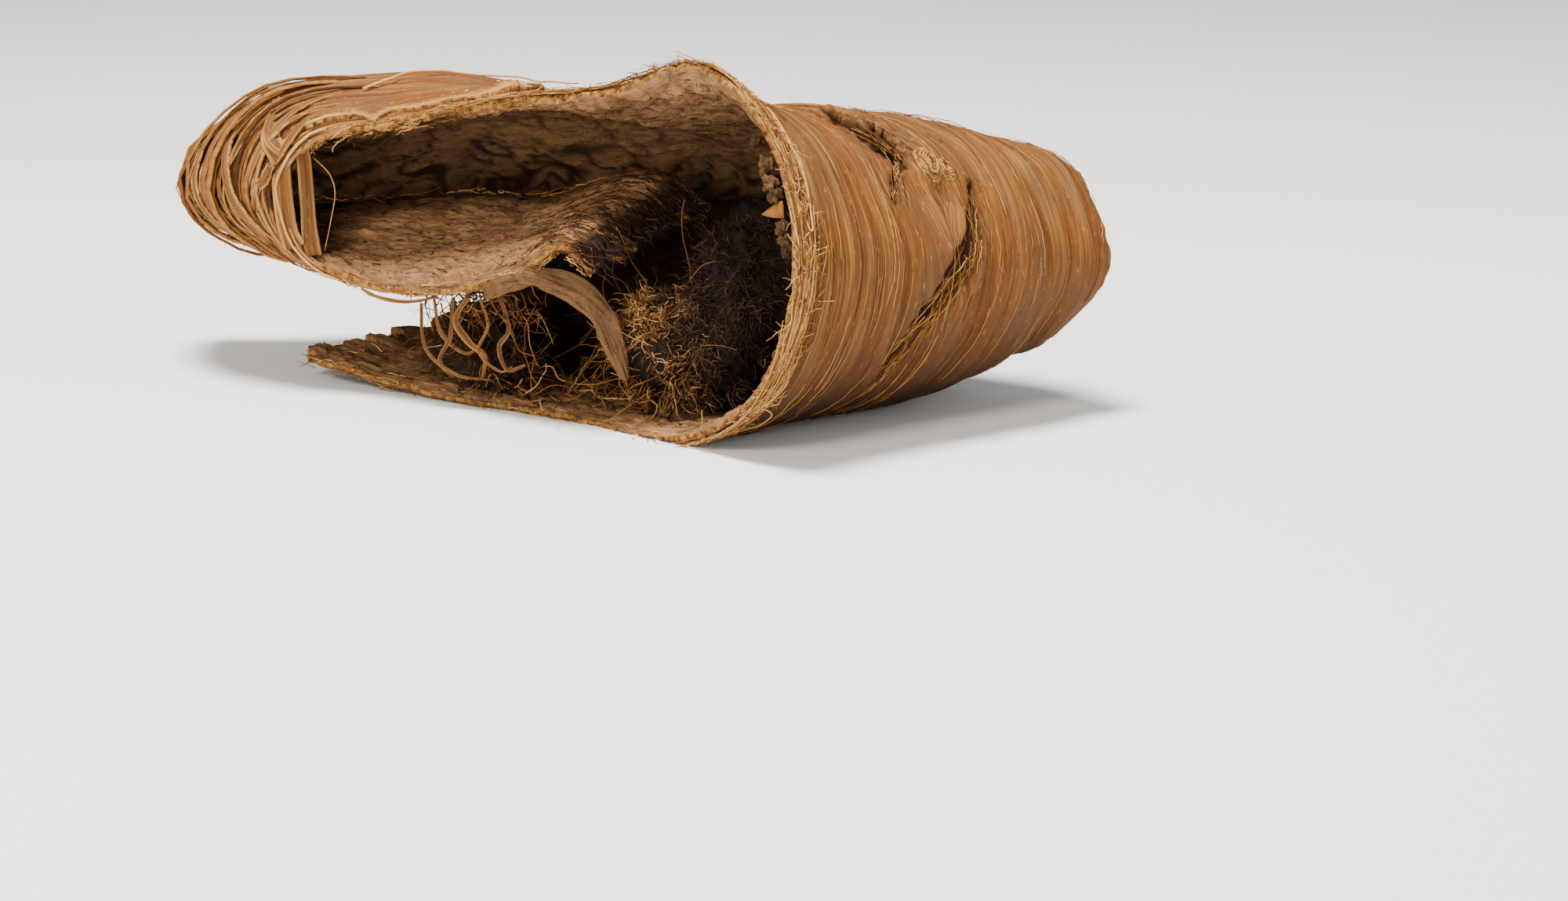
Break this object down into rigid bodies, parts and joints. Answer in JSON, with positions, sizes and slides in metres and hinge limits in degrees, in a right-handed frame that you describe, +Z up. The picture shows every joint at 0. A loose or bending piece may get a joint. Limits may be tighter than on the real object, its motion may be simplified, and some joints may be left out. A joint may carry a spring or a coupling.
{
  "type": "piece of bark",
  "caption": "Dried strip of fibrous bark wound into a loose flattened scroll, smooth ridged outside, rough inside, torn rims and shreds of fibre.",
  "frame": {"origin": "middle of the scroll's box, on the ground that it lies on", "axes": "+Z up, +X towards the big open bend, +Y along the scroll's axis from the near mouth to the far rim"},
  "size_m": [0.1634, 0.1068, 0.0669],
  "materials": {
    "bark": "dry fibrous inner bark, matt, with paler torn rims and a rough dark brown inner face"
  },
  "bodies": {
    "root": {"bark_strip": "bark"}
  },
  "joints": []
}
